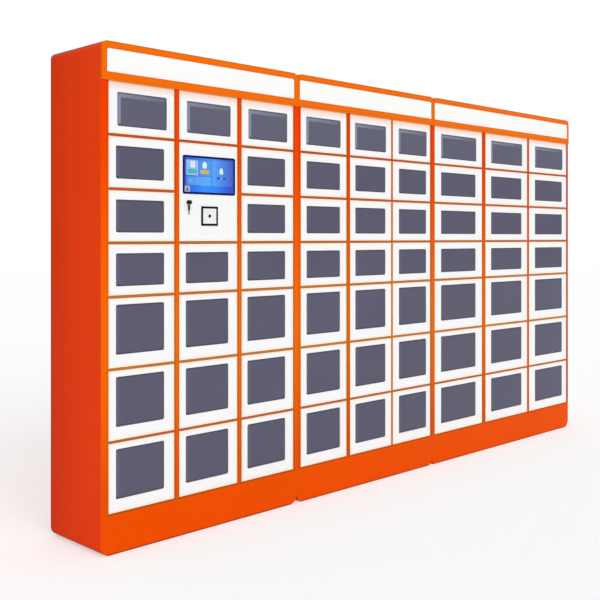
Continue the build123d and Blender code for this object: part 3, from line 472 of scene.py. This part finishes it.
def make_glass():
    """Tinted double glazing seen from in front: dark and smooth, with painted highlights on its
    bevels and painted shade along some edges, set by the panes' tone.
    """
    paint = Paint("tinted_glass")
    tone = paint.node("ShaderNodeAttribute", attribute_name="tone").outputs["Fac"]
    cloud = paint.span(paint.noise(1.7, 2.0), 0.3, 0.7, 0.0, 0.03)
    share = paint.span(paint.maths("ADD", tone, cloud), DARKEST_TONE, 1.0)
    plain = DARKEST_TONE / (DARKEST_TONE - 1.0)
    stops = [(0.0, srgb(52, 54, 66)), (plain, srgb(84, 83, 103)), (1.0, srgb(157, 162, 179))]
    paint.set("Base Color", paint.ramp(share, stops))
    paint.set("Roughness", paint.span(paint.noise(6.0), 0.3, 0.7, 0.10, 0.16))
    paint.set("Specular IOR Level", 0.15)
    return paint.material


def make_inner_glass():
    """The glazing's inner pane, seen from inside the door."""
    paint = Paint("inner_glass")
    paint.set("Base Color", paint.blend(paint.noise(3.0), srgb(66, 68, 82), srgb(76, 78, 92)))
    paint.set("Roughness", paint.span(paint.noise(9.0), 0.3, 0.7, 0.08, 0.14))
    return paint.material


def make_lens():
    """Frosted lamp lens, faintly lit."""
    paint = Paint("lamp_lens")
    grain = paint.noise(80.0)
    paint.set("Base Color", paint.blend(grain, srgb(250, 250, 244), srgb(238, 238, 230)))
    paint.set("Roughness", 0.5)
    paint.set("Emission Color", srgb(255, 250, 236))
    paint.set("Emission Strength", 0.5)
    return paint.material


GLASS = make_glass()
INNER_GLASS = make_inner_glass()
LENS = make_lens()


# Materials on the CAD nodes, chosen face by face where a node holds several pieces

def faces_of(obj):
    """Centres in the layout's millimetres and normals of an object's faces."""
    mesh = obj.data
    count = len(mesh.polygons)
    centres = np.empty(count * 3, np.float32)
    normals = np.empty(count * 3, np.float32)
    mesh.polygons.foreach_get("center", centres)
    mesh.polygons.foreach_get("normal", normals)
    centres = centres.reshape(-1, 3).astype(float)
    centres -= np.array([corner.x, corner.y, 0.0])
    return centres * 1000, normals.reshape(-1, 3)


def dress(name, base, *choices):
    """Gives a CAD node its materials. Each choice is (material, a function of x, y, z and the
    normals that says which faces take it)."""
    obj = cad[name]
    obj.data.materials.clear()
    obj.data.materials.append(base)
    index = np.zeros(len(obj.data.polygons), np.int32)
    centres, normals = faces_of(obj)
    x, y, z = centres.T
    for material, test in choices:
        obj.data.materials.append(material)
        index[test(x, y, z, normals)] = len(obj.data.materials) - 1
    obj.data.polygons.foreach_set("material_index", index)
    obj.data.update()


def inside(x, z, rect, margin=0.0):
    """True where a place lies in a rectangle widened by a margin."""
    x0, x1, z0, z1 = rect
    return (x > x0 - margin) & (x < x1 + margin) & (z > z0 - margin) & (z < z1 + margin)


# Where the nodes' pieces part, in millimetres: the depths of the backs of the doors' outer slabs
# and of the frames' rails, how far in the seals reach from the openings, and heights on the casings
SLAB_BACK = 17.0
FRAME_BACK = 24.0
SEAL_REACH = 15.8
PLINTH_TOP = 166.0
ROUNDED_TOP = 2060.0
BASE_TRAY = 42.0


def near_window(spots):
    """True for the faces of the panes' pockets of the given doors."""
    rects = [window_rect(letter, row) for letter, row in spots]

    def test(x, y, z, n):
        found = np.zeros(len(x), bool)
        for rect in rects:
            found |= inside(x, z, rect, PANE_OVERLAP + 0.1)
        return found
    return test


def side_faces(x, y, z, n):
    """Faces round the edges of a door's outer slab."""
    return (y > 0.3) & (np.abs(n[:, 1]) < 0.5)


def dress_door(body):
    """A glazed door: white slab, glass, white inner frame, seal and steel hook."""
    spots = doors_of(body)
    at_window = near_window(spots)
    openings = [(*COLUMNS[letter], *ROWS[row]) for letter, row in spots]

    def deep(x, y, z, n):
        return y > SLAB_BACK + 0.05

    def glass(x, y, z, n):
        return at_window(x, y, z, n) & (y > 6.9) & (y < 21.1) & (np.abs(n[:, 1]) > 0.9)

    def edge(x, y, z, n):
        near = np.zeros(len(x), bool)
        for rect in openings:
            near |= inside(x, z, rect) & ~inside(x, z, rect, -SEAL_REACH)
        return near & (y > SLAB_BACK + 0.01) & (y < FRAME_BACK - 0.1)

    def hook(x, y, z, n):
        return y > 30.1

    dress(body, DOOR_WHITE, (EDGE_WHITE, side_faces), (INNER_WHITE, deep), (INNER_GLASS, glass),
          (SEAL, edge), (ZINC, hook))


for body in GLAZED:
    dress_door(body)


def rail_faces(x, y, z, n):
    """Faces of the rails, between the columns' stiles and below the top rail."""
    found = np.zeros(len(x), bool)
    for x0, x1 in COLUMNS.values():
        found |= (x > x0) & (x < x1)
    return found & (y < FRAME_BACK) & (z > ROWS[-1][0] + 0.5)


def reveal_faces(x, y, z, n):
    """Faces that line the openings, round the edges of the closed doors."""
    return (y > 0.6) & (y < FRAME_BACK) & (np.abs(n[:, 1]) < 0.5)


for number in (1, 2, 3):
    dress(f"face_frame_{number}", NEAR_FRAME if number == 1 else FAR_FRAME,
          (ORANGE_RAIL, rail_faces), (ORANGE_REVEAL, reveal_faces))
    dress(f"casing_{number}", ORANGE_PLINTH,
          (ORANGE_STILE, lambda x, y, z, n: z > PLINTH_TOP),
          (ORANGE_TOP, lambda x, y, z, n: z > ROUNDED_TOP),
          (ORANGE_SIDE, lambda x, y, z, n: np.abs(n[:, 0]) > 0.3),
          (GREY_STEEL, lambda x, y, z, n: (z < BASE_TRAY) & (n[:, 2] > 0.5) & (y > 2.0)))
    dress(f"compartments_{number}", LINER)
    dress(f"condenser_fan_{number}", BLACK_PLASTIC)

dress("service_door", SERVICE_WHITE, (EDGE_WHITE, side_faces),
      (SEAL, lambda x, y, z, n: y > SLAB_BACK + 0.1))
dress("header_frames", NEAR_HEADER, (FAR_HEADER, lambda x, y, z, n: x > CABINETS[1][1]))
dress("plinth_panels", ORANGE_PLINTH)
dress("back_panels", ORANGE_BACK)
dress("sign_panels", SIGN_WHITE)
dress("header_lamps", LAMP_WHITE, (LENS, lambda x, y, z, n: z > 1958.5))
dress("insulation", FOAM)
dress("electric_locks", BLACK_PLASTIC,
      (ZINC, lambda x, y, z, n: (np.abs(n[:, 1]) < 0.1) & (y > 33.0) & (y < 64.0)
       & (np.abs(n[:, 0]) < 0.1) & (np.abs(n[:, 2]) > 0.9)))
dress("compressors", BLACK_ENAMEL,
      (RUBBER, lambda x, y, z, n: z < 13.4), (ZINC, lambda x, y, z, n: (z > 13.4) & (z < 16.6)))
dress("condensers", ALUMINIUM, (BLACK_ENAMEL, lambda x, y, z, n: y > 289.9))
dress("evaporators", ALUMINIUM, (COPPER, lambda x, y, z, n: y > 302.7))
dress("refrigerant_pipes", COPPER)
dress("fasteners", ZINC)
dress("levelling_feet", ZINC, (RUBBER, lambda x, y, z, n: z < 8.1))
dress("control_electronics", GREY_STEEL,
      (BOARD_GREEN, lambda x, y, z, n: (y > 288.0) & (z > 1335.0)),
      (BLACK_PLASTIC, lambda x, y, z, n: (y > 270.0) & (y < 288.35) & (z > 1335.0)),
      (ZINC, lambda x, y, z, n: (y > 290.1) & (z > 1335.0)))
dress("mains_inlet", BLACK_PLASTIC)
dress("screen_housing", NAVY, (BLACK_PLASTIC, lambda x, y, z, n: y > 1.2))
dress("cam_lock", LOCK_BLACK)
dress("lock_key", LOCK_BLACK, (KEY_BLACK, lambda x, y, z, n: y < -6.0),
      (ZINC, lambda x, y, z, n: y > 26.0))
dress("spare_key", KEY_BLACK, (KEY_STEEL, lambda x, y, z, n: z < 1416.2),
      (LOCK_BLACK, lambda x, y, z, n: z > 1442.5))
dress("card_reader", READER_BLACK,
      (READER_WHITE, lambda x, y, z, n: (y < -1.4) & (y > -1.7) & (n[:, 1] < -0.9)))


# Shapes

def object_from(name, bm, materials, body):
    """A piece made from a bmesh, riding on a body."""
    mesh = bpy.data.meshes.new(name)
    bm.normal_update()
    bm.to_mesh(mesh)
    bm.free()
    for material in materials:
        mesh.materials.append(material)
    obj = bpy.data.objects.new(name, mesh)
    bpy.context.scene.collection.objects.link(obj)
    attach(obj, body)
    return obj


def rounded(rect, radius, steps=5):
    """Points round a rectangle with rounded corners, anticlockwise as seen from the front."""
    x0, x1, z0, z1 = rect
    radius = min(radius, (x1 - x0) / 2 - 0.01, (z1 - z0) / 2 - 0.01)
    corners = [(x1 - radius, z0 + radius, -90), (x1 - radius, z1 - radius, 0),
               (x0 + radius, z1 - radius, 90), (x0 + radius, z0 + radius, 180)]
    points = []
    for cx, cz, start in corners:
        for i in range(steps + 1):
            a = math.radians(start + 90 * i / steps)
            points.append((cx + radius * math.cos(a), cz + radius * math.sin(a)))
    return points


def inset(rect, margin):
    """A rectangle moved in by the same margin all round."""
    x0, x1, z0, z1 = rect
    return (x0 + margin, x1 - margin, z0 + margin, z1 - margin)


def ring_of(bm, points, y):
    """Vertices at points across and up, at a depth."""
    return [bm.verts.new(place(x, y, z)) for x, z in points]


def bridge(bm, outer, inner, index=0):
    """Faces between two rings with as many points."""
    made = []
    for i in range(len(outer)):
        j = (i + 1) % len(outer)
        face = bm.faces.new((outer[i], outer[j], inner[j], inner[i]))
        face.material_index = index
        made.append(face)
    return made


def cap(bm, ring, index=0):
    """One face that fills a ring."""
    face = bm.faces.new(ring)
    face.material_index = index
    return face


# Bevelled panes in front of the CAD panes, one piece for each body

# Depths, radii and margins in millimetres; the margins run left, right, bottom, top
PANE_BACK = 6.9
BEVEL_LOW = 4.4
PANE_FRONT = 2.2
PANE_GAP = 0.15
EDGE_STEP = 1.2
BEVEL = (26.0, 9.0, 9.0, 9.0)
FRONT_RADIUS = 3.0
TOP_BEVEL = (18.0, 9.0, 8.0, 21.0)
TOP_LINE = (4.0, 5.0, 5.0, 6.5)
LINE_RADIUS = 4.0
LINE_DEPTH = 3.0

# The glass tone of the flat middle, and of each side's band at its left and its right end: tones
# above zero are painted highlight, tones below zero painted shade, and the top row's panes are
# painted lighter
FLAT_TONE = 0.045
TOP_FLAT_TONE = 0.11
SIDES = ("left", "right", "top", "bottom")
EDGE_TONES = {"left": (0.17, 0.17), "right": (-0.13, -0.13), "top": (-0.13, -0.13),
              "bottom": (-0.11, -0.11)}
TOP_EDGE_TONES = {"left": (0.74, 0.74), "right": (-0.10, -0.10), "top": (0.22, 0.02),
                  "bottom": (-0.02, -0.12)}
TOP_BEVEL_TONES = {"left": (0.66, 0.66), "right": (TOP_FLAT_TONE, TOP_FLAT_TONE),
                   "top": (0.60, 0.22), "bottom": (TOP_FLAT_TONE, TOP_FLAT_TONE)}


def within(rect, margins):
    """A rectangle moved in by its margins at the left, right, bottom and top."""
    x0, x1, z0, z1 = rect
    left, right, low_edge, top = margins
    return (x0 + left, x1 - right, z0 + low_edge, z1 - top)


def tone_band(tone, faces, rect, outer, at_outer, at_inner):
    """Sets the tone of a band of faces between an outer ring and an inner one."""
    x0, x1, z0, z1 = rect
    outer = set(outer)
    for face in faces:
        centre = face.calc_center_median()
        cx = (centre.x - corner.x) * 1000
        cz = centre.z * 1000
        gaps = {"left": cx - x0, "right": x1 - cx, "top": z1 - cz, "bottom": cz - z0}
        side = min(gaps, key=gaps.get)
        for loop in face.loops:
            at_left, at_right = (at_outer if loop.vert in outer else at_inner)[side]
            share = ((loop.vert.co.x - corner.x) * 1000 - x0) / (x1 - x0)
            loop[tone] = at_left + (at_right - at_left) * share


def pane(bm, tone, rect, top_row):
    """One pane: a flat middle and a bevel all round, with its painted tone kept at each corner. The
    top row's panes have a painted dark line of shade along the edge, outside the bevel's painted
    highlight."""
    outline = inset(rect, PANE_GAP)
    back = ring_of(bm, rounded(outline, WINDOW_RADIUS), PANE_BACK)
    edge = ring_of(bm, rounded(outline, WINDOW_RADIUS), BEVEL_LOW)
    step = ring_of(bm, rounded(inset(outline, EDGE_STEP), WINDOW_RADIUS - EDGE_STEP),
                   BEVEL_LOW - 1.0)
    face = within(outline, TOP_BEVEL if top_row else BEVEL)
    front = ring_of(bm, rounded(face, FRONT_RADIUS), PANE_FRONT)
    low = TOP_EDGE_TONES if top_row else EDGE_TONES
    tone_band(tone, bridge(bm, edge, step), outline, edge, low, low)
    if top_row:
        middle_tone = TOP_FLAT_TONE
        line = ring_of(bm, rounded(within(outline, TOP_LINE), LINE_RADIUS), LINE_DEPTH)
        tone_band(tone, bridge(bm, step, line), outline, step, low, low)
        tone_band(tone, bridge(bm, line, front), outline, line, TOP_BEVEL_TONES, TOP_BEVEL_TONES)
    else:
        middle_tone = FLAT_TONE
        flat = dict.fromkeys(SIDES, (middle_tone, middle_tone))
        tone_band(tone, bridge(bm, step, front), outline, step, low, flat)
    for face in [*bridge(bm, back, edge), cap(bm, list(reversed(back)))]:
        for loop in face.loops:
            loop[tone] = 0.0
    for loop in cap(bm, front).loops:
        loop[tone] = middle_tone


for body in GLAZED:
    bm = bmesh.new()
    tone = bm.loops.layers.float.new("tone")
    for letter, row in doors_of(body):
        pane(bm, tone, window_rect(letter, row), row == 0)
    piece = object_from("panes_" + body, bm, [GLASS], body)


# A thin lip under each header frame, in front of the gap over the top row of doors, in a lighter
# orange that is a painted light over the gap's shade

LIP_FRONT = -5.8
LIP_BACK = 0.8
LIP_BOTTOM = 1941.6
LIP_TOP = 1944.05
LIP_INSET = 1.0
LIP_RADIUS = 0.6

for number, (left, right) in CABINETS.items():
    bm = bmesh.new()
    rect = (left + LIP_INSET, right - LIP_INSET, LIP_BOTTOM, LIP_TOP)
    front = ring_of(bm, rounded(rect, LIP_RADIUS, 2), LIP_FRONT)
    back = ring_of(bm, rounded(rect, LIP_RADIUS, 2), LIP_BACK)
    bridge(bm, back, front)
    cap(bm, front)
    cap(bm, list(reversed(back)))
    piece = object_from(f"header_lip_{number}", bm, [ORANGE_LIP], "root")


# The screen's picture: plain tiles, pills and blank icons

def lit(name, *colours):
    """A lit area of the display under its glossy glass. More than one colour makes a ramp over
    the display's width, evenly spaced from left to right."""
    paint = Paint(name)
    if len(colours) == 1:
        dim = tuple(c * 0.88 for c in colours[0][:3]) + (1.0,)
        glow = paint.blend(paint.span(paint.noise(14.0), 0.3, 0.7), colours[0], dim)
    else:
        x0 = corner.x + SCREEN[0] / 1000
        x1 = corner.x + SCREEN[1] / 1000
        stops = [(i / (len(colours) - 1), colour) for i, colour in enumerate(colours)]
        glow = paint.ramp(paint.span(paint.along("X"), x0, x1), stops)
    paint.set("Base Color", (0.012, 0.014, 0.03, 1.0))
    paint.set("Roughness", 0.12)
    paint.set("Specular IOR Level", 0.3)
    paint.set("Emission Color", glow)
    paint.set("Emission Strength", 0.94)
    return paint.material


DISPLAY = lit("display_ground", srgb(44, 66, 196), srgb(46, 104, 220), srgb(50, 140, 242),
              srgb(60, 142, 246), srgb(46, 96, 218), srgb(44, 66, 176))
dress("touch_screen", NAVY, (DISPLAY, lambda x, y, z, n: n[:, 1] < -0.9))
UI = {
    "pale": lit("ui_pale", srgb(152, 196, 255)),
    "azure": lit("ui_azure", srgb(74, 130, 222), srgb(84, 172, 248)),
    "panel": lit("ui_panel", srgb(84, 172, 255), srgb(84, 172, 255), srgb(84, 172, 255),
                 srgb(82, 160, 250), srgb(72, 122, 226), srgb(52, 80, 186)),
    "deep": lit("ui_deep", srgb(74, 110, 216), srgb(88, 160, 248), srgb(88, 178, 254),
                srgb(70, 160, 248), srgb(70, 160, 248)),
    "band": lit("ui_band", srgb(18, 84, 204), srgb(32, 118, 240), srgb(40, 144, 255),
                srgb(34, 136, 250), srgb(26, 98, 226), srgb(34, 66, 188)),
    "white": lit("ui_white", srgb(238, 255, 255)),
    "green": lit("ui_green", srgb(66, 194, 184)),
    "amber": lit("ui_amber", srgb(206, 184, 108)),
    "navy": lit("ui_navy", srgb(14, 72, 186)),
    "soft": lit("ui_soft", srgb(98, 172, 255)),
    "grey": lit("ui_grey", srgb(180, 184, 226)),
    "ink": lit("ui_ink", srgb(58, 64, 110)),
}

# Each tile: kind, its left and right and its top and bottom as shares of the screen's outline,
# the radius of its corners in millimetres, and the layer that it lies in
TILES = [
    ("pale", 0.059, 0.284, 0.115, 0.515, 3, 1),
    ("azure", 0.302, 0.518, 0.115, 0.515, 3, 1),
    ("panel", 0.543, 0.945, 0.100, 0.770, 3, 1),
    ("deep", 0.059, 0.518, 0.540, 0.770, 3, 1),
    ("band", 0.148, 0.945, 0.800, 0.935, 2, 1),
    ("white", 0.138, 0.222, 0.150, 0.310, 3.5, 2),
    ("grey", 0.155, 0.205, 0.195, 0.207, 0.5, 3),
    ("grey", 0.155, 0.205, 0.229, 0.241, 0.5, 3),
    ("green", 0.080, 0.264, 0.352, 0.462, 9, 2),
    ("white", 0.364, 0.446, 0.176, 0.318, 5, 2),
    ("white", 0.381, 0.429, 0.148, 0.196, 4, 2),
    ("amber", 0.318, 0.496, 0.358, 0.470, 9, 2),
    ("white", 0.692, 0.760, 0.322, 0.450, 5, 2),
    ("white", 0.704, 0.748, 0.288, 0.350, 4, 2),
    ("navy", 0.638, 0.694, 0.530, 0.590, 4, 2),
    ("soft", 0.704, 0.748, 0.532, 0.588, 4, 2),
    ("navy", 0.758, 0.808, 0.530, 0.590, 4, 2),
    ("soft", 0.103, 0.187, 0.590, 0.725, 6, 2),
    ("soft", 0.241, 0.325, 0.590, 0.725, 6, 2),
    ("soft", 0.379, 0.463, 0.590, 0.725, 6, 2),
    ("grey", 0.033, 0.131, 0.790, 0.945, 3, 2),
    ("ink", 0.064, 0.099, 0.870, 0.925, 2.5, 3),
    ("ink", 0.072, 0.091, 0.825, 0.865, 2.2, 3),
]
TILE_BACK = -0.70
TILE_THICKNESS = 0.04


def tile(bm, index, shares, radius, layer):
    """A thin tile on the display, standing out by its layer."""
    u0, u1, v0, v1 = shares
    left, right, bottom, top = SCREEN
    width = right - left
    height = top - bottom
    rect = (left + u0 * width, left + u1 * width, top - v1 * height, top - v0 * height)
    points = rounded(rect, radius)
    back = ring_of(bm, points, TILE_BACK)
    front = ring_of(bm, points, TILE_BACK - TILE_THICKNESS * layer)
    bridge(bm, back, front, index)
    cap(bm, front, index)


bm = bmesh.new()
kinds = list(UI)
for kind, u0, u1, v0, v1, radius, layer in TILES:
    tile(bm, kinds.index(kind), (u0, u1, v0, v1), radius, layer)
screen_picture = object_from("screen_picture", bm, list(UI.values()), "service_door")


# Floor, light and camera

FLOOR_SIZE = 30.0
FLOOR_LEVEL = -0.0015
FLOOR_GLOW = 0.50
FLOOR_LIT = (0.9, 0.9, 0.9, 1.0)
FLOOR_SEEN = (0.55, 0.55, 0.55, 1.0)


def make_floor():
    """A wide pale floor, which glows for the camera alone so that it looks almost white."""
    mesh = bpy.data.meshes.new("floor")
    spots = [(-1, -1), (1, -1), (1, 1), (-1, 1)]
    points = [(x * FLOOR_SIZE, y * FLOOR_SIZE, FLOOR_LEVEL) for x, y in spots]
    mesh.from_pydata(points, [], [(0, 1, 2, 3)])
    floor = bpy.data.objects.new("floor", mesh)
    bpy.context.scene.collection.objects.link(floor)
    material = bpy.data.materials.new("floor_pale")
    material.use_nodes = True
    tree = material.node_tree
    shader = tree.nodes["Principled BSDF"]
    shader.inputs["Roughness"].default_value = 0.9
    shader.inputs["Specular IOR Level"].default_value = 0.0
    glow = tree.nodes.new("ShaderNodeEmission")
    path = tree.nodes.new("ShaderNodeLightPath")
    scale = tree.nodes.new("ShaderNodeMath")
    scale.operation = "MULTIPLY"
    scale.inputs[1].default_value = FLOOR_GLOW
    tree.links.new(path.outputs["Is Camera Ray"], scale.inputs[0])
    tree.links.new(scale.outputs[0], glow.inputs["Strength"])
    colour = tree.nodes.new("ShaderNodeMix")
    colour.data_type = "RGBA"
    colour.inputs[6].default_value = FLOOR_LIT
    colour.inputs[7].default_value = FLOOR_SEEN
    tree.links.new(path.outputs["Is Camera Ray"], colour.inputs["Factor"])
    tree.links.new(colour.outputs[2], shader.inputs["Base Color"])
    add = tree.nodes.new("ShaderNodeAddShader")
    tree.links.new(shader.outputs[0], add.inputs[0])
    tree.links.new(glow.outputs[0], add.inputs[1])
    tree.links.new(add.outputs[0], tree.nodes["Material Output"].inputs["Surface"])
    mesh.materials.append(material)


def backdrop(tree, strength=None):
    """A white background shader, with a strength of its own or one linked later."""
    made = tree.nodes.new("ShaderNodeBackground")
    made.inputs["Color"].default_value = WHITE
    if strength is not None:
        made.inputs["Strength"].default_value = strength
    return made


def chosen(tree, share, first, second):
    """The second shader where share is 1, else the first."""
    made = tree.nodes.new("ShaderNodeMixShader")
    tree.links.new(share, made.inputs[0])
    tree.links.new(first.outputs[0], made.inputs[1])
    tree.links.new(second.outputs[0], made.inputs[2])
    return made


def make_world(strength):
    """An even white sky that lights the bank, white to the camera, and brighter overhead than at
    the horizon in what shines back."""
    world = bpy.data.worlds.new("studio")
    bpy.context.scene.world = world
    world.use_nodes = True
    tree = world.node_tree
    tree.nodes.clear()
    light = backdrop(tree, strength)
    seen = backdrop(tree, 1.0)
    mirrored = backdrop(tree)
    direction = tree.nodes.new("ShaderNodeTexCoord")
    parts = tree.nodes.new("ShaderNodeSeparateXYZ")
    tree.links.new(direction.outputs["Generated"], parts.inputs[0])
    rise = tree.nodes.new("ShaderNodeMapRange")
    tree.links.new(parts.outputs["Z"], rise.inputs["Value"])
    rise.inputs["From Min"].default_value = 0.0
    rise.inputs["From Max"].default_value = 0.7
    rise.inputs["To Min"].default_value = 0.35
    rise.inputs["To Max"].default_value = 1.1
    tree.links.new(rise.outputs["Result"], mirrored.inputs["Strength"])
    path = tree.nodes.new("ShaderNodeLightPath")
    glossy = chosen(tree, path.outputs["Is Glossy Ray"], light, mirrored)
    mix = chosen(tree, path.outputs["Is Camera Ray"], glossy, seen)
    out = tree.nodes.new("ShaderNodeOutputWorld")
    tree.links.new(mix.outputs[0], out.inputs["Surface"])


def make_sun(name, towards, strength, spread):
    """A soft distant light that shines along a direction."""
    data = bpy.data.lights.new(name, "SUN")
    data.energy = strength
    data.angle = math.radians(spread)
    light = bpy.data.objects.new(name, data)
    light.rotation_euler = Vector(towards).to_track_quat("-Z", "Y").to_euler()
    bpy.context.scene.collection.objects.link(light)


# The camera is level, as the photo's upright lines are parallel, and its frame is shifted down
CAMERA_PLACE = (-2064.3, -3230.4, 1298.1)
CAMERA_TURN = -44.7175
CAMERA_LENS = 55.54
CAMERA_SHIFT = -0.1041


def make_camera():
    """A camera at the photo's angle, fitted to the bank's straight edges."""
    data = bpy.data.cameras.new("camera")
    data.sensor_width = 36.0
    data.lens = CAMERA_LENS
    data.shift_y = CAMERA_SHIFT
    camera = bpy.data.objects.new("camera", data)
    camera.location = place(*CAMERA_PLACE)
    camera.rotation_euler = (math.radians(90), 0, math.radians(CAMERA_TURN))
    bpy.context.scene.collection.objects.link(camera)
    bpy.context.scene.camera = camera


make_floor()
make_world(0.63)
make_sun("key", (0.12, 0.80, -0.52), 1.18, 40)
make_sun("fill_back", (-0.4, -0.8, -0.4), 0.3, 60)
make_camera()
bpy.context.scene.view_settings.view_transform = "Standard"
